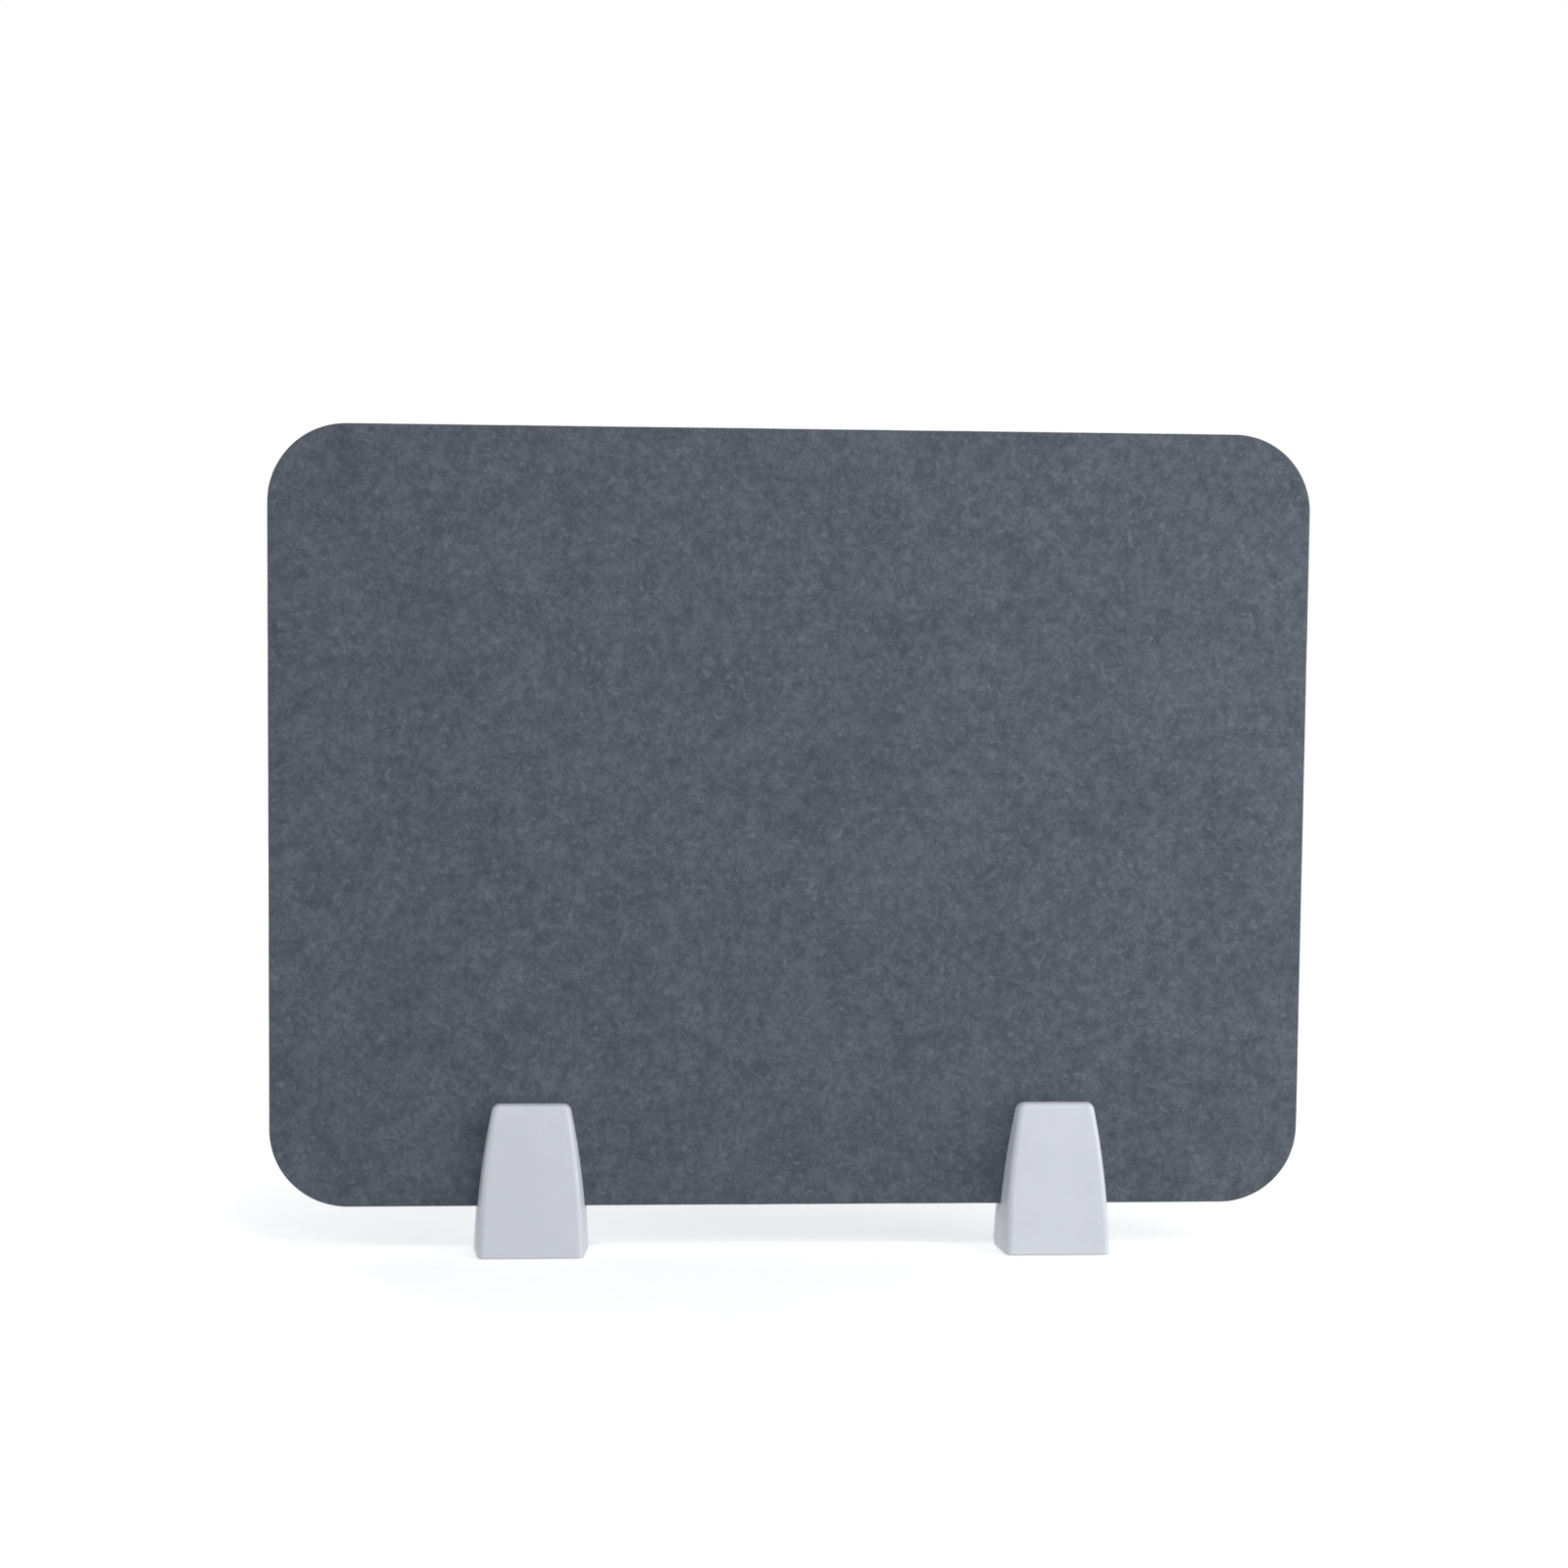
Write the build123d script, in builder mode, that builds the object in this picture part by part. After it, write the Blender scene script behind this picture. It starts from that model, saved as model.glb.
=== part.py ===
from build123d import *
from math import atan2, cos, sin
import os

# A free-standing desktop acoustic screen: one stiff felt board held by two feet.
# Each foot is a pair of moulded half shells drawn together by two screws from behind.
# X runs along the board, -Y is the front, +Z is up. The origin is on the desk, midway.
# All sizes are millimetres.

# Felt board
PANEL_W = 600.0
PANEL_H = 450.0
PANEL_T = 12.0
PANEL_CORNER_R = 45.0
PANEL_EDGE = 0.8
PANEL_LIFT = 26.0

# Outer form of a foot, symmetric about the parting plane in the middle of the board
FOOT_X = {"left": -149.5, "right": 155.8}
FOOT_H = 86.5
FOOT_BASE_DEPTH = 28.0
FOOT_TOP_DEPTH = 14.5
FOOT_DRAFT = 7.0
FOOT_EDGE_R = 3.4

# Sloped front face of a foot, measured before its edges are rounded
FACE_BASE_HALF = 29.9
FACE_TOP_HALF = 21.4
FACE_SIDE_BULGE = 2.0
FACE_CORNER_R = 4.0

# Walls, ribs and seam of the half shells
PARTING_CHAMFER = 0.4
WALL = 2.4
RIB_T = 1.5
JAW_RIB_X = (-12.0, 0.0, 12.0)
JAW_RIB_Z = (38.0, 53.0, 68.0)
FIT_GAP = 0.2
RIB_SETBACK = 0.4

# Grip liners between the jaws and the felt
LINER_T = 1.9
LINER_BASE_HALF = 27.9
LINER_TOP_HALF = 19.9
LINER_TOP_Z = 83.4
LINER_CORNER = 3.0
LINER_GROOVE_W = 1.8
LINER_GROOVE_D = 0.5
LINER_PITCH = 4.4
LINER_GROOVES = 13
LINER_GAP = 0.1

# Screws, threaded inserts and square locating pegs
SCREW_X = 13.0
SCREW_Z = 12.0
SCREW_R = 1.5
SCREW_L = 20.0
SCREW_SEAT_Y = 13.0
SCREW_HEAD_R = 2.75
SCREW_HEAD_H = 3.0
SOCKET_R = 1.45
SOCKET_DEPTH = 1.5
CLEARANCE_R = 1.7
HEAD_BORE_R = 3.2
SCREW_BOSS_R = 5.2
INSERT_R = 2.3
INSERT_BORE_R = 1.25
INSERT_L = 6.0
INSERT_HOLE_R = 2.2
INSERT_HOLE_L = 9.0
PEG_X = 25.0
PEG_SIDE = 3.0
PEG_L = 3.0
PEG_POST_SIDE = 6.0
PEG_SOCKET_SIDE = 3.2
PEG_SOCKET_L = 3.6

# Anti-slip pads recessed in the soles
PAD_W = 48.0
PAD_D = 17.0
PAD_T = 1.5
PAD_RECESS = 0.9
PAD_CORNER = 3.0
PAD_BEVEL = 0.3
PAD_CENTRE_Y = 15.0
PAD_GAP = 0.1

# Values worked out from the driving dimensions
SOLE_Z = PAD_T - PAD_RECESS
SEAT_Z = PANEL_LIFT - FIT_GAP
SLOT_Y = PANEL_T / 2 + FIT_GAP
LINER_FACE_Y = PANEL_T / 2 + LINER_GAP
LINER_BACK_Y = LINER_FACE_Y + LINER_T
REACH = FOOT_BASE_DEPTH + WALL
SLOPE = atan2(FOOT_BASE_DEPTH - FOOT_TOP_DEPTH, FOOT_H)
FACE_L = FOOT_H / cos(SLOPE)
FACE_MIDDLE_HALF = (FACE_BASE_HALF + FACE_TOP_HALF) / 2 + FACE_SIDE_BULGE
CUT_W = 2 * (FACE_BASE_HALF + REACH)
HALF_TURN = (0, 0, 180)
SCREW_POINTS = [(-SCREW_X, SCREW_Z), (SCREW_X, SCREW_Z)]
PEG_POINTS = [(-PEG_X, SCREW_Z), (PEG_X, SCREW_Z)]
FORWARD = Plane.XZ
BACKWARD = Plane(origin=(0, 0, 0), x_dir=(-1, 0, 0), z_dir=(0, 1, 0))
FACE_PLANE = Plane(origin=(0, -FOOT_BASE_DEPTH, 0), x_dir=(-1, 0, 0),
                   z_dir=(0, cos(SLOPE), -sin(SLOPE)))


def half_foot(inset=0.0):
    """Front half of a foot's outer form, or a flat-sided copy drawn in by inset.

    The outline is drawn on the sloped front face and runs back from it with draft."""
    with BuildPart() as half:
        with BuildSketch(FACE_PLANE):
            with BuildLine():
                base = Line((-FACE_BASE_HALF, 0), (FACE_BASE_HALF, 0))
                top = Line((-FACE_TOP_HALF, FACE_L), (FACE_TOP_HALF, FACE_L))
                if inset > 0:
                    Polyline(base @ 1, (FACE_MIDDLE_HALF, FACE_L / 2), top @ 1)
                    Polyline(top @ 0, (-FACE_MIDDLE_HALF, FACE_L / 2), base @ 0)
                else:
                    SagittaArc(base @ 1, top @ 1, -FACE_SIDE_BULGE)
                    SagittaArc(top @ 0, base @ 0, -FACE_SIDE_BULGE)
            outline = make_face()
            if inset > 0:
                offset(amount=-inset, kind=Kind.INTERSECTION, mode=Mode.REPLACE)
            else:
                fillet(outline.vertices().group_by(Axis.Y)[-1], radius=FACE_CORNER_R)
        extrude(amount=REACH)
        walls = half.faces().filter_by(FACE_PLANE, reverse=True).sort_by(Axis.Z)[1:]
        draft(walls, neutral_plane=FACE_PLANE, angle=-FOOT_DRAFT)
        if inset > 0:
            split(bisect_by=FACE_PLANE.offset(inset), keep=Keep.TOP)
        else:
            front_face = half.faces().sort_by(Axis.Y)[0]
            fillet(front_face.edges().sort_by(Axis.Z)[1:], radius=FOOT_EDGE_R)
        split(bisect_by=FORWARD, keep=Keep.TOP)
        if inset == 0:
            parting_face = half.faces().sort_by(Axis.Y)[-1]
            chamfer(parting_face.edges().sort_by(Axis.Z)[1:], length=PARTING_CHAMFER)
        split(bisect_by=Plane.XY.offset(SOLE_Z + inset), keep=Keep.TOP)
    return half.part


def board_slot():
    """Room for the board's lower edge, open from the seat upwards."""
    with BuildPart() as slot:
        with BuildSketch(Plane.XY.offset(SEAT_Z)):
            with Locations((0, -SLOT_Y / 2)):
                Rectangle(CUT_W, SLOT_Y)
        extrude(amount=FOOT_H)
    return slot.part


outer_form = half_foot()
inner_form = half_foot(WALL)
rib_form = half_foot(WALL / 2)

# Ribs and seat web shared by both half shells, trimmed to run out inside the walls
with BuildPart() as core:
    with BuildSketch(FORWARD.offset(LINER_BACK_Y)):
        with Locations(*[(x, (SEAT_Z + FOOT_H) / 2) for x in JAW_RIB_X]):
            Rectangle(RIB_T, FOOT_H - SEAT_Z)
        with Locations(*[(0, z) for z in JAW_RIB_Z]):
            Rectangle(CUT_W, RIB_T)
    extrude(amount=REACH)
    with BuildSketch(FORWARD.offset(RIB_SETBACK)):
        with Locations((0, SEAT_Z / 2)):
            Rectangle(RIB_T, SEAT_Z)
        with Locations((0, SCREW_Z)):
            Rectangle(CUT_W, RIB_T)
    extrude(amount=REACH)
    with BuildSketch(FORWARD):
        with Locations((0, SEAT_Z - WALL / 2)):
            Rectangle(CUT_W, WALL)
    extrude(amount=REACH)
    add(rib_form, mode=Mode.INTERSECT)


def pad_recess():
    """Shallow pocket in the sole that holds an anti-slip pad."""
    with BuildPart() as pocket:
        with BuildSketch(Plane.XY.offset(SOLE_Z)):
            with Locations((0, -PAD_CENTRE_Y)):
                outline = Rectangle(PAD_W + 2 * PAD_GAP, PAD_D + 2 * PAD_GAP)
            chamfer(outline.vertices(), length=PAD_CORNER)
        extrude(amount=PAD_RECESS)
    return pocket.part


def half_shell():
    """Walls, ribs, seat web, panel slot and sole pocket, before the bosses go in."""
    with BuildPart() as shell:
        add(outer_form)
        add(inner_form, mode=Mode.SUBTRACT)
        add(board_slot(), mode=Mode.SUBTRACT)
        add(core.part)
        add(pad_recess(), mode=Mode.SUBTRACT)
    return shell.part


# Six-sided screw bosses and square peg posts, from the parting plane out to the wall
with BuildPart() as posts:
    with BuildSketch(FORWARD):
        with Locations(*SCREW_POINTS):
            RegularPolygon(radius=SCREW_BOSS_R, side_count=6)
        with Locations(*PEG_POINTS):
            Rectangle(PEG_POST_SIDE, PEG_POST_SIDE)
    extrude(amount=REACH)
    add(rib_form, mode=Mode.INTERSECT)

# Front half shell: blind bosses for the threaded inserts, and two locating pegs
with BuildPart() as front_shell:
    add(half_shell())
    add(posts.part)
    with BuildSketch(FORWARD):
        with Locations(*SCREW_POINTS):
            Circle(INSERT_HOLE_R)
    extrude(amount=INSERT_HOLE_L, mode=Mode.SUBTRACT)
    with BuildSketch(BACKWARD):
        with Locations(*PEG_POINTS):
            Rectangle(PEG_SIDE, PEG_SIDE)
    extrude(amount=PEG_L)

# Rear half shell: through bosses with deep counterbores, and sockets for the pegs
with BuildPart() as bored_shell:
    add(half_shell())
    add(posts.part)
    with BuildSketch(FORWARD):
        with Locations(*SCREW_POINTS):
            Circle(CLEARANCE_R)
    extrude(amount=REACH, mode=Mode.SUBTRACT)
    with BuildSketch(FORWARD.offset(SCREW_SEAT_Y)):
        with Locations(*SCREW_POINTS):
            Circle(HEAD_BORE_R)
    extrude(amount=REACH, mode=Mode.SUBTRACT)
    with BuildSketch(FORWARD):
        with Locations(*PEG_POINTS):
            Rectangle(PEG_SOCKET_SIDE, PEG_SOCKET_SIDE)
    extrude(amount=PEG_SOCKET_L, mode=Mode.SUBTRACT)

with BuildPart() as rear_shell:
    add(bored_shell.part, rotation=HALF_TURN)

# Grip liner: a soft plate inside the jaw's rim, with level grooves on the side that holds the felt
with BuildPart() as front_liner:
    with BuildSketch(FORWARD.offset(LINER_FACE_Y)):
        with BuildLine():
            Polyline((-LINER_BASE_HALF, SEAT_Z), (LINER_BASE_HALF, SEAT_Z),
                     (LINER_TOP_HALF, LINER_TOP_Z), (-LINER_TOP_HALF, LINER_TOP_Z), close=True)
        plate = make_face()
        chamfer(plate.vertices().group_by(Axis.Y)[-1], length=LINER_CORNER)
    extrude(amount=LINER_T)
    with BuildSketch(FORWARD.offset(LINER_FACE_Y)):
        with Locations((0, (SEAT_Z + LINER_TOP_Z) / 2)):
            with GridLocations(0, LINER_PITCH, 1, LINER_GROOVES):
                Rectangle(CUT_W, LINER_GROOVE_W)
    extrude(amount=LINER_GROOVE_D, mode=Mode.SUBTRACT)

with BuildPart() as rear_liner:
    add(front_liner.part, rotation=HALF_TURN)

# Anti-slip pad with a bevelled lower edge
with BuildPart() as front_pad:
    with BuildSketch(Plane.XY):
        with Locations((0, -PAD_CENTRE_Y)):
            outline = Rectangle(PAD_W, PAD_D)
        chamfer(outline.vertices(), length=PAD_CORNER)
    extrude(amount=PAD_T)
    chamfer(front_pad.faces().sort_by(Axis.Z)[0].edges(), length=PAD_BEVEL)

with BuildPart() as rear_pad:
    add(front_pad.part, rotation=HALF_TURN)

# Socket-head screw along Y, its head seated in the rear shell's counterbore
with BuildPart() as screw:
    with BuildSketch(Plane.XY):
        with BuildLine():
            tip_y = SCREW_SEAT_Y - SCREW_L
            top_y = SCREW_SEAT_Y + SCREW_HEAD_H
            Polyline((0, tip_y), (SCREW_R, tip_y), (SCREW_R, SCREW_SEAT_Y),
                     (SCREW_HEAD_R, SCREW_SEAT_Y), (SCREW_HEAD_R, top_y), (0, top_y), close=True)
        make_face()
    revolve(axis=Axis.Y)
    with BuildSketch(BACKWARD.offset(top_y - SOCKET_DEPTH)):
        RegularPolygon(radius=SOCKET_R, side_count=6)
    extrude(amount=SOCKET_DEPTH, mode=Mode.SUBTRACT)

# Threaded insert: a plain sleeve pressed into the front shell's boss
with BuildPart() as insert:
    with BuildSketch(FORWARD):
        Circle(INSERT_R)
        Circle(INSERT_BORE_R, mode=Mode.SUBTRACT)
    extrude(amount=INSERT_L)

# Felt board with rounded corners and slightly eased cut edges
with BuildPart() as felt_panel:
    with BuildSketch(FORWARD):
        with Locations((0, PANEL_LIFT + PANEL_H / 2)):
            RectangleRounded(PANEL_W, PANEL_H, PANEL_CORNER_R)
    extrude(amount=PANEL_T / 2, both=True)
    board_faces = felt_panel.faces().filter_by(Axis.Y)
    chamfer(board_faces.edges(), length=PANEL_EDGE)


def write(part, name, place=(0, 0, 0)):
    """Label a copy of a piece at its place and write it to its own file."""
    piece = part.moved(Location(place))
    piece.label = name
    export_step(piece, f"parts/{name}.step")


os.makedirs("parts", exist_ok=True)
write(felt_panel.part, "felt_panel")
for side, foot_x in FOOT_X.items():
    write(front_shell.part, f"{side}_foot_front_shell", (foot_x, 0, 0))
    write(rear_shell.part, f"{side}_foot_rear_shell", (foot_x, 0, 0))
    write(front_liner.part, f"{side}_foot_front_liner", (foot_x, 0, 0))
    write(rear_liner.part, f"{side}_foot_rear_liner", (foot_x, 0, 0))
    write(front_pad.part, f"{side}_foot_front_pad", (foot_x, 0, 0))
    write(rear_pad.part, f"{side}_foot_rear_pad", (foot_x, 0, 0))
    for hand, (screw_x, screw_z) in zip(("a", "b"), SCREW_POINTS):
        write(screw.part, f"{side}_foot_screw_{hand}", (foot_x + screw_x, 0, screw_z))
        write(insert.part, f"{side}_foot_insert_{hand}", (foot_x + screw_x, 0, screw_z))
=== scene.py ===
import math

import bpy
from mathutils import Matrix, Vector, noise


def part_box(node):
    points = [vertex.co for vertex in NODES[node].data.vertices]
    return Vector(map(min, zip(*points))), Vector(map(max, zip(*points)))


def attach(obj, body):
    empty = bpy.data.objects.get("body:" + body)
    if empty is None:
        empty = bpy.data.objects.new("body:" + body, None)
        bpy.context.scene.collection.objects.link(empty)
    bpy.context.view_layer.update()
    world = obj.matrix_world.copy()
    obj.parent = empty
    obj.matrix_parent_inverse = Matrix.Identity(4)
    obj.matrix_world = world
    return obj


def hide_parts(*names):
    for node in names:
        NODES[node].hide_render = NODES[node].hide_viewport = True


# A desktop acoustic screen: a felt board on two moulded feet. All lengths are metres.
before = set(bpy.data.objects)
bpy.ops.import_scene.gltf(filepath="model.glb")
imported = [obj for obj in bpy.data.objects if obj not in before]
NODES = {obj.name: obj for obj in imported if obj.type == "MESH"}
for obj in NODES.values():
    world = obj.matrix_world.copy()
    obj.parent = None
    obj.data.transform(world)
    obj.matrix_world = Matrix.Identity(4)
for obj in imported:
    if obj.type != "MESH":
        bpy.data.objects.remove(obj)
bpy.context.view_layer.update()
MM = 0.001
WHITE = (1.0, 1.0, 1.0, 1.0)

# Camera: place, turn in degrees, focal length and film width in Blender's millimetres
CAMERA_AT = (-0.1260, -1.6943, 0.3954)
CAMERA_TURN = (85.8325, -0.5533, -4.0615)
CAMERA_LENS = 67.5
CAMERA_FILM = 36.0

# Light: place, size and power of each lamp, which all look at one point, and the sky
LIT_POINT = (0.0, 0.0, 0.2)
LAMPS = {"key": ((1.5, -1.0, 1.4), 1.0, 3.0), "side": ((1.3, -0.5, 0.5), 1.0, 9.0),
         "top": ((0.1, -0.9, 1.9), 0.5, 6.0), "back": ((-1.2, 1.5, 1.2), 1.0, 11.0)}
SKY_STRENGTH = 0.70
SKY_COLOUR = (0.95, 0.97, 1.0, 1.0)
SEEN_SKY_STRENGTH = 1.0

# Floor. It glows to the camera alone, less within the near reach than beyond the far one, so
# that open floor looks white and the screen's shadow still shows.
FLOOR_SPAN = 30.0
FLOOR_COLOUR = (0.88, 0.88, 0.88, 1.0)
FLOOR_MOTTLE = (9.0, 3.0)
FLOOR_SURFACE = {"Roughness": 0.9, "Specular IOR Level": 0.1, "Emission Color": WHITE}
FLOOR_GLOW = (0.26, 0.44)
FLOOR_GLOW_REACH = (0.5, 2.4)

# Felt board mesh: grid cell, corners, cut edges, and the uneven surface
BOARD_CELL = 3.0 * MM
BOARD_CORNER_R = 45.0 * MM
BOARD_EDGE_R = 1.0 * MM
BOARD_EDGE_STEPS = 3
BOARD_SIDE_STEPS = 5
RELIEF_DEPTH = 0.12 * MM
RELIEF_SCALE = 55.0
RELIEF_FALLOFF = 0.8
RELIEF_LACUNARITY = 2.1
RELIEF_OCTAVES = 4
RIM_STRETCH = 6.0

# Felt colours, from the darkest fibre to the pale flecks, and the felt's surface
FELT_DARK = (0.0552, 0.0661, 0.0818, 1.0)
FELT_LIGHT = (0.1165, 0.1332, 0.1585, 1.0)
FELT_FLECK = (0.1650, 0.1820, 0.2080, 1.0)
FELT_SURFACE = {"Roughness": 0.94, "Specular IOR Level": 0.12, "Sheen Weight": 0.15,
                "Sheen Roughness": 0.55}

# Felt finishes: name, shade, and how much finer the pattern is through the board's thickness
FELT_FINISHES = (("felt_face", 1.0, 1.0), ("felt_cut_edge", 0.85, 5.0))

# Felt noises: scale per metre, octaves and roughness
CLOUDS = (26.0, 3.0, 0.55)
TUFTS = (150.0, 3.0, 0.60)
GRAIN = (620.0, 3.0, 0.65)
FLECKS = (230.0, 1.0)

# Swirl that bends the tufts, the grain and the strands: scale per metre and reach
SWIRL_SCALE = 90.0
SWIRL_REACH = 6.0 * MM

# Felt tone: share of each noise, and the part of each range that is stretched from 0 to 1
CLOUD_SHARE = 0.36
TUFT_SHARE = 0.76
GRAIN_SHARE = 0.08
TONE_RANGE = (0.32, 0.88)
FLECK_RANGE = (0.62, 0.76)
FLECK_SHARE = 0.38

# Felt strands: length and width, angles in degrees, depth over width, and height in the bump
PALE_STRAND = (6.5 * MM, 2.3 * MM)
DARK_STRAND = (6.0 * MM, 2.1 * MM)
PALE_ANGLES = (8.0, 63.0, 121.0)
DARK_ANGLES = (35.0, 94.0, 152.0)
STRAND_DEPTH = 4.0
STRAND_OCTAVES = 1.0
STRAND_RANGE = (0.53, 0.70)
STRAND_SHARE = 0.45
PALE_HEIGHT = 0.5
DARK_HEIGHT = -0.3

# Bumps of every material: distance and strength
TUFT_BUMP = (0.5 * MM, 0.4)
FIBRE_BUMP = (0.16 * MM, 0.7)
MARK_BUMP = (0.10 * MM, 0.15)
MOULD_BUMP = (0.03 * MM, 0.5)
RING_BUMP = (0.02 * MM, 0.3)

# Moulded finishes: name, darkest and palest colour, roughness, and size of the eroded grain
MOULDED = {
    "shell": ("foot_plastic", (0.585, 0.600, 0.655, 1.0), (0.625, 0.640, 0.690, 1.0),
              0.46, 0.45 * MM),
    "liner": ("grip_rubber", (0.070, 0.072, 0.078, 1.0), (0.105, 0.108, 0.115, 1.0),
              0.80, 0.30 * MM),
    "pad": ("pad_rubber", (0.470, 0.480, 0.500, 1.0), (0.540, 0.550, 0.570, 1.0),
            0.72, 0.30 * MM),
}
MOULD_SURFACE = {"Specular IOR Level": 0.42}

# Moulded noises: scale per metre, octaves, roughness and distortion. The grain has its own scale.
FLOW = (22.0, 2.0, 0.5, 0.6)
MARKS = (160.0, 4.0, 0.6)
MOULD_GRAIN = (2.0, 0.6)

# Moulded tone: share of the marks, ranges that are stretched, and the change in roughness
MARK_SHARE = 0.35
MARK_RANGE = (0.3, 0.7)
MOULD_TONE_RANGE = (0.35, 1.0)
MOULD_ROUGHNESS_SWING = 0.06

# Metal finishes: name, darkest and palest colour, and roughness
METALS = {
    "screw": ("screw_steel", (0.50, 0.50, 0.49, 1.0), (0.66, 0.66, 0.65, 1.0), 0.30),
    "insert": ("insert_brass", (0.62, 0.43, 0.17, 1.0), (0.78, 0.58, 0.27, 1.0), 0.34),
}
METAL_SURFACE = {"Metallic": 1.0}

# Metal noises: scale per metre and octaves, and what they do to the tone and the roughness
RINGS = (900.0, 2.0)
RING_STRETCH = 18.0
TARNISH = (380.0, 3.0)
TARNISH_RANGE = (0.3, 0.7)
POLISHED_SWING = -0.08
TARNISHED_SWING = 0.10

# Sockets of a Mix node that mixes colours
MIX_INPUTS = (0, 6, 7)
MIX_RESULT = 2


def fill(tree, socket, value):
    """Links a node's output to a socket, or sets the socket to a constant."""
    if isinstance(value, bpy.types.NodeSocket):
        tree.links.new(value, socket)
    else:
        socket.default_value = value


def add_node(tree, kind, inputs, **settings):
    """Adds a shader node, sets it up, and fills its inputs."""
    made = tree.nodes.new(kind)
    for key, value in settings.items():
        setattr(made, key, value)
    for key, value in inputs.items():
        fill(tree, made.inputs[key], value)
    return made


def arithmetic(tree, operation, *values, clamp=False):
    """A Math node's result."""
    inputs = dict(enumerate(values))
    return add_node(tree, "ShaderNodeMath", inputs, operation=operation, use_clamp=clamp).outputs[0]


def noise_value(tree, where, scale, detail=2.0, roughness=0.5, distortion=0.0):
    """A Noise Texture's grey value, from about 0.2 to 0.8."""
    inputs = {"Vector": where, "Scale": scale, "Detail": detail, "Roughness": roughness,
              "Distortion": distortion}
    return add_node(tree, "ShaderNodeTexNoise", inputs).outputs[0]


def spread(tree, value, low, high, new_low=0.0, new_high=1.0):
    """A value from low to high, smoothly stretched over a new range."""
    inputs = {"Value": value, "From Min": low, "From Max": high, "To Min": new_low,
              "To Max": new_high}
    made = add_node(tree, "ShaderNodeMapRange", inputs, interpolation_type="SMOOTHSTEP")
    return made.outputs[0]


def mixed(tree, factor, first, second, blend="MIX"):
    """Two colours mixed."""
    inputs = dict(zip(MIX_INPUTS, (factor, first, second)))
    made = add_node(tree, "ShaderNodeMix", {}, data_type="RGBA", blend_type=blend)
    for key, value in inputs.items():
        fill(tree, made.inputs[key], value)
    return made.outputs[MIX_RESULT]


def partly(tree, mask, share, first, second):
    """The first colour with a share of the second one where a mask is 1."""
    return mixed(tree, arithmetic(tree, "MULTIPLY", mask, share), first, second)


def bump(tree, height, distance, strength, under=None):
    """A Bump node's normal, over another one's if there is one."""
    inputs = {"Height": height, "Distance": distance, "Strength": strength}
    if under is not None:
        inputs["Normal"] = under
    return add_node(tree, "ShaderNodeBump", inputs).outputs[0]


def start_material(name, surface):
    """A new material with its shader's constants, its tree, its shader, and coordinates."""
    made = bpy.data.materials.new(name)
    made.use_nodes = True
    tree = made.node_tree
    shader = tree.nodes["Principled BSDF"]
    for key, value in surface.items():
        shader.inputs[key].default_value = value
    where = add_node(tree, "ShaderNodeTexCoord", {}).outputs["Object"]
    return made, tree, shader, where


def strands(tree, where, angles, size):
    """Thin strands that lie in the board's face at several angles, from 0 to 1."""
    length, width = size
    strongest = None
    for angle in angles:
        inputs = {"Vector": where, "Rotation": (0.0, math.radians(angle), 0.0),
                  "Scale": (length, width * STRAND_DEPTH, width)}
        turned = add_node(tree, "ShaderNodeMapping", inputs, vector_type="TEXTURE").outputs[0]
        lay = spread(tree, noise_value(tree, turned, 1.0, STRAND_OCTAVES), *STRAND_RANGE)
        strongest = lay if strongest is None else arithmetic(tree, "MAXIMUM", strongest, lay)
    return strongest


def felt_material(name, shade, across):
    """Needle-punched heather felt: clouds, tufts, pale and dark strands, and pale flecks."""
    made, tree, shader, where = start_material(name, FELT_SURFACE)
    inputs = {"Vector": where, "Scale": (1.0, across, 1.0)}
    where = add_node(tree, "ShaderNodeMapping", inputs).outputs[0]
    inputs = {"Vector": where, "Scale": SWIRL_SCALE}
    swirl = add_node(tree, "ShaderNodeTexNoise", inputs).outputs["Color"]
    inputs = {0: swirl, 1: (SWIRL_REACH, SWIRL_REACH, SWIRL_REACH), 2: where}
    bent = add_node(tree, "ShaderNodeVectorMath", inputs, operation="MULTIPLY_ADD").outputs[0]
    clouds = noise_value(tree, where, *CLOUDS)
    tufts = noise_value(tree, bent, *TUFTS)
    grain = noise_value(tree, bent, *GRAIN)
    flecks = spread(tree, noise_value(tree, where, *FLECKS), *FLECK_RANGE)
    pale = strands(tree, bent, PALE_ANGLES, PALE_STRAND)
    dark = strands(tree, bent, DARK_ANGLES, DARK_STRAND)
    tone = arithmetic(tree, "MULTIPLY", clouds, CLOUD_SHARE)
    tone = arithmetic(tree, "MULTIPLY_ADD", tufts, TUFT_SHARE, tone)
    tone = arithmetic(tree, "MULTIPLY_ADD", grain, GRAIN_SHARE, tone)
    colour = mixed(tree, spread(tree, tone, *TONE_RANGE), FELT_DARK, FELT_LIGHT)
    colour = partly(tree, pale, STRAND_SHARE, colour, FELT_LIGHT)
    colour = partly(tree, dark, STRAND_SHARE, colour, FELT_DARK)
    colour = partly(tree, flecks, FLECK_SHARE, colour, FELT_FLECK)
    colour = mixed(tree, 1.0, colour, (shade, shade, shade, 1.0), blend="MULTIPLY")
    height = arithmetic(tree, "MULTIPLY_ADD", pale, PALE_HEIGHT, grain)
    height = arithmetic(tree, "MULTIPLY_ADD", dark, DARK_HEIGHT, height)
    normal = bump(tree, tufts, *TUFT_BUMP)
    normal = bump(tree, height, *FIBRE_BUMP, normal)
    tree.links.new(colour, shader.inputs["Base Color"])
    tree.links.new(normal, shader.inputs["Normal"])
    return made


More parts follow.
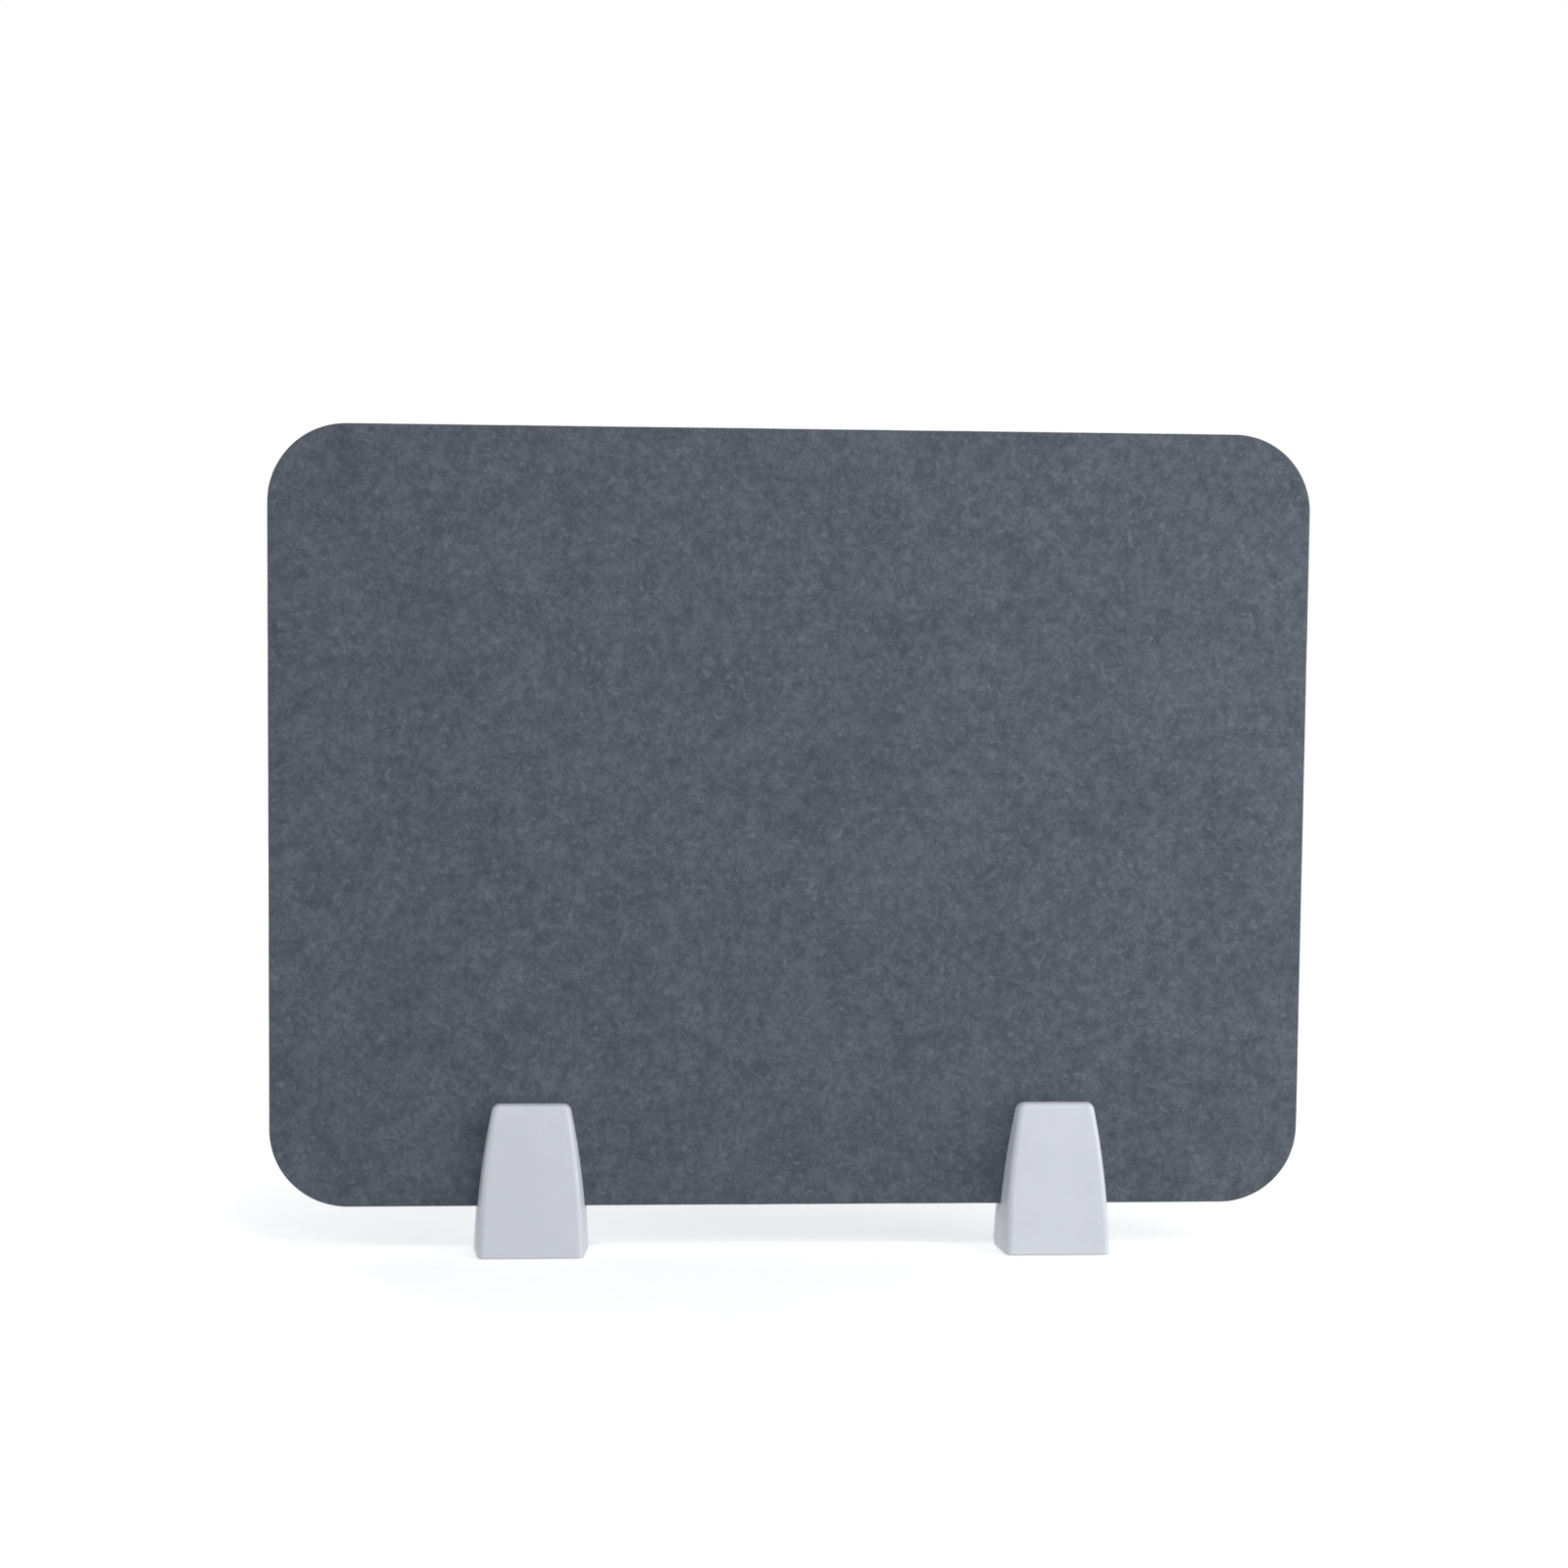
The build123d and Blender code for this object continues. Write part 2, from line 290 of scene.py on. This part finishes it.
def moulded_material(name, low, high, roughness, grain_size):
    """Moulded plastic or rubber: a fine eroded grain, faint flow marks and handling marks."""
    made, tree, shader, where = start_material(name, MOULD_SURFACE)
    flow = noise_value(tree, where, *FLOW)
    marks = noise_value(tree, where, *MARKS)
    grain = noise_value(tree, where, 1.0 / grain_size, *MOULD_GRAIN)
    tone = arithmetic(tree, "MULTIPLY_ADD", marks, MARK_SHARE, flow)
    colour = mixed(tree, spread(tree, tone, *MOULD_TONE_RANGE), low, high)
    rough = spread(tree, marks, *MARK_RANGE, roughness - MOULD_ROUGHNESS_SWING,
                   roughness + MOULD_ROUGHNESS_SWING)
    normal = bump(tree, marks, *MARK_BUMP)
    normal = bump(tree, grain, *MOULD_BUMP, normal)
    tree.links.new(colour, shader.inputs["Base Color"])
    tree.links.new(rough, shader.inputs["Roughness"])
    tree.links.new(normal, shader.inputs["Normal"])
    return made


def metal_material(name, low, high, roughness):
    """Turned metal with fine rings round the screw's axis and a little tarnish."""
    made, tree, shader, where = start_material(name, METAL_SURFACE)
    inputs = {"Vector": where, "Scale": (1.0, RING_STRETCH, 1.0)}
    drawn = add_node(tree, "ShaderNodeMapping", inputs).outputs[0]
    rings = noise_value(tree, drawn, *RINGS)
    tarnish = noise_value(tree, where, *TARNISH)
    colour = mixed(tree, spread(tree, tarnish, *TARNISH_RANGE), low, high)
    rough = spread(tree, tarnish, *TARNISH_RANGE, roughness + POLISHED_SWING,
                   roughness + TARNISHED_SWING)
    tree.links.new(colour, shader.inputs["Base Color"])
    tree.links.new(rough, shader.inputs["Roughness"])
    tree.links.new(bump(tree, rings, *RING_BUMP), shader.inputs["Normal"])
    return made


def steps(length, corner):
    """Grid lines along one side, with lines where the corners start."""
    in_corner = round(corner / BOARD_CELL)
    straight = length - 2 * corner
    middle = round(straight / BOARD_CELL)
    low = [-length / 2 + corner * k / in_corner for k in range(in_corner)]
    flat = [straight * (k / middle - 0.5) for k in range(middle + 1)]
    return low + flat + [-value for value in reversed(low)]


def on_board(x, z, width, height, corner):
    """A grid point drawn in to the rounded outline, and the way out from it."""
    over_x = (abs(x) - width / 2 + corner) / corner
    over_z = (abs(z) - height / 2 + corner) / corner
    side_x = math.copysign(1.0, x)
    side_z = math.copysign(1.0, z)
    if over_x <= 0 or over_z <= 0:
        outward = (side_x, 0.0) if over_x > over_z else (0.0, side_z)
        return x, z, outward
    round_x = over_x * math.sqrt(1 - over_z**2 / 2)
    round_z = over_z * math.sqrt(1 - over_x**2 / 2)
    away = math.hypot(round_x, round_z)
    x = side_x * (width / 2 - corner + corner * round_x)
    z = side_z * (height / 2 - corner + corner * round_z)
    return x, z, (side_x * round_x / away, side_z * round_z / away)


def relief(x, y, z):
    """How far the felt's surface lies under its outer form."""
    place = Vector((x, y, z)) * RELIEF_SCALE
    wave = noise.fractal(place, RELIEF_FALLOFF, RELIEF_LACUNARITY, RELIEF_OCTAVES)
    return RELIEF_DEPTH * max(0.0, (1 + wave) / 2)


def edge_profile(half):
    """The board's edge from front to back: how far out each ring of points is, and its depth."""
    turns = [math.pi / 2 * k / BOARD_EDGE_STEPS for k in range(1, BOARD_EDGE_STEPS + 1)]
    front = [(BOARD_EDGE_R * math.sin(turn), BOARD_EDGE_R * (1 - math.cos(turn)) - half)
             for turn in turns]
    flat = half - BOARD_EDGE_R
    side = [(BOARD_EDGE_R, flat * (2 * k / BOARD_SIDE_STEPS - 1))
            for k in range(1, BOARD_SIDE_STEPS)]
    return front + side + [(out, -y) for out, y in reversed(front)]


def grid_rim(across, up):
    """The points round a grid of so many points across and up, in order."""
    last = (up - 1) * across
    bottom = list(range(across))
    right = [row * across + across - 1 for row in range(1, up)]
    top = list(range(last + across - 2, last - 1, -1))
    left = list(range(last - across, 0, -across))
    return bottom + right + top + left


def board_shape():
    """The board's points and faces, and how many of the faces aren't on its cut edge."""
    low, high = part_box("felt_panel")
    middle = (low + high) / 2
    width = high.x - low.x - 2 * BOARD_EDGE_R
    height = high.z - low.z - 2 * BOARD_EDGE_R
    half = (high.y - low.y) / 2
    corner = BOARD_CORNER_R - BOARD_EDGE_R
    columns = steps(width, corner)
    rows = steps(height, corner)
    across, up = len(columns), len(rows)
    spots = [on_board(x, z, width, height, corner) for z in rows for x in columns]
    verts = []
    faces = []
    for facing in (-1, 1):
        first = len(verts)
        verts += [middle + Vector((x, facing * (half - relief(x, facing * half, z)), z))
                  for x, z, _ in spots]
        for row in range(up - 1):
            for start in range(first + row * across, first + row * across + across - 1):
                loop = (start, start + 1, start + across + 1, start + across)
                faces.append(loop if facing < 0 else loop[::-1])
    on_faces = len(faces)
    rim = grid_rim(across, up)
    rings = [rim]
    for out, y in edge_profile(half):
        rings.append(range(len(verts), len(verts) + len(rim)))
        for x, z, (out_x, out_z) in (spots[index] for index in rim):
            reach = out - relief(x, y * RIM_STRETCH, z)
            verts.append(middle + Vector((x + out_x * reach, y, z + out_z * reach)))
    rings.append([index + across * up for index in rim])
    for near, far in zip(rings, rings[1:]):
        for k in range(len(rim)):
            after = (k + 1) % len(rim)
            faces.append((near[after], near[k], far[k], far[after]))
    return verts, faces, on_faces


def felt_board():
    """The board as a fine grid with eased cut edges and a soft uneven surface."""
    verts, faces, on_faces = board_shape()
    mesh = bpy.data.meshes.new("felt_board")
    mesh.from_pydata(verts, [], faces)
    for finish in FELT_FINISHES:
        mesh.materials.append(felt_material(*finish))
    slots = [0] * on_faces + [1] * (len(faces) - on_faces)
    mesh.polygons.foreach_set("material_index", slots)
    mesh.polygons.foreach_set("use_smooth", [True] * len(faces))
    mesh.update()
    board = bpy.data.objects.new("felt_board", mesh)
    bpy.context.scene.collection.objects.link(board)
    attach(board, "panel")
    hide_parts("felt_panel")


def dress_feet():
    """Gives every CAD piece of the feet its finish."""
    finishes = {kind: moulded_material(*values) for kind, values in MOULDED.items()}
    finishes.update({kind: metal_material(*values) for kind, values in METALS.items()})
    for name, piece in NODES.items():
        for kind, finish in finishes.items():
            if kind in name:
                piece.data.materials.clear()
                piece.data.materials.append(finish)


def camera():
    """The camera at the photograph's viewing angle."""
    made = bpy.data.objects.new("camera", bpy.data.cameras.new("camera"))
    made.location = CAMERA_AT
    made.rotation_euler = [math.radians(angle) for angle in CAMERA_TURN]
    made.data.lens = CAMERA_LENS
    made.data.sensor_width = CAMERA_FILM
    bpy.context.scene.collection.objects.link(made)
    bpy.context.scene.camera = made


def soft_light(name, place, size, power):
    """One large round lamp, aimed at the screen."""
    lamp = bpy.data.lights.new(name, "AREA")
    lamp.shape = "DISK"
    lamp.size = size
    lamp.energy = power
    made = bpy.data.objects.new(name, lamp)
    made.location = place
    aim = Vector(LIT_POINT) - Vector(place)
    made.rotation_euler = aim.to_track_quat("-Z", "Y").to_euler()
    bpy.context.scene.collection.objects.link(made)


def sky():
    """Even soft light, which looks plain white to the camera."""
    world = bpy.data.worlds.new("sky")
    world.use_nodes = True
    tree = world.node_tree
    light = tree.nodes["Background"]
    light.inputs["Color"].default_value = SKY_COLOUR
    light.inputs["Strength"].default_value = SKY_STRENGTH
    inputs = {"Color": WHITE, "Strength": SEEN_SKY_STRENGTH}
    plain = add_node(tree, "ShaderNodeBackground", inputs)
    path = add_node(tree, "ShaderNodeLightPath", {}).outputs
    seen = arithmetic(tree, "ADD", path["Is Camera Ray"], path["Is Glossy Ray"])
    seen = arithmetic(tree, "ADD", seen, path["Is Transmission Ray"], clamp=True)
    inputs = {0: seen, 1: light.outputs[0], 2: plain.outputs[0]}
    chosen = add_node(tree, "ShaderNodeMixShader", inputs)
    tree.links.new(chosen.outputs[0], tree.nodes["World Output"].inputs["Surface"])
    bpy.context.scene.world = world


def floor():
    """A pale floor that runs into the white behind it and keeps the object's shadow."""
    mesh = bpy.data.meshes.new("floor")
    reach = FLOOR_SPAN / 2
    mesh.from_pydata([(-reach, -reach, 0), (reach, -reach, 0), (reach, reach, 0),
                      (-reach, reach, 0)], [], [(0, 1, 2, 3)])
    made, tree, shader, where = start_material("pale_floor", FLOOR_SURFACE)
    tone = mixed(tree, noise_value(tree, where, *FLOOR_MOTTLE), FLOOR_COLOUR, WHITE)
    away = add_node(tree, "ShaderNodeVectorMath", {0: where}, operation="LENGTH").outputs["Value"]
    fade = spread(tree, away, *FLOOR_GLOW_REACH, *FLOOR_GLOW)
    seen = add_node(tree, "ShaderNodeLightPath", {}).outputs["Is Camera Ray"]
    glow = arithmetic(tree, "MULTIPLY", seen, fade)
    tree.links.new(tone, shader.inputs["Base Color"])
    tree.links.new(glow, shader.inputs["Emission Strength"])
    mesh.materials.append(made)
    ground = bpy.data.objects.new("floor", mesh)
    bpy.context.scene.collection.objects.link(ground)


camera()
for lamp_name, lamp_values in LAMPS.items():
    soft_light(lamp_name, *lamp_values)
sky()
floor()
felt_board()
dress_feet()
bpy.context.scene.view_settings.view_transform = "Standard"
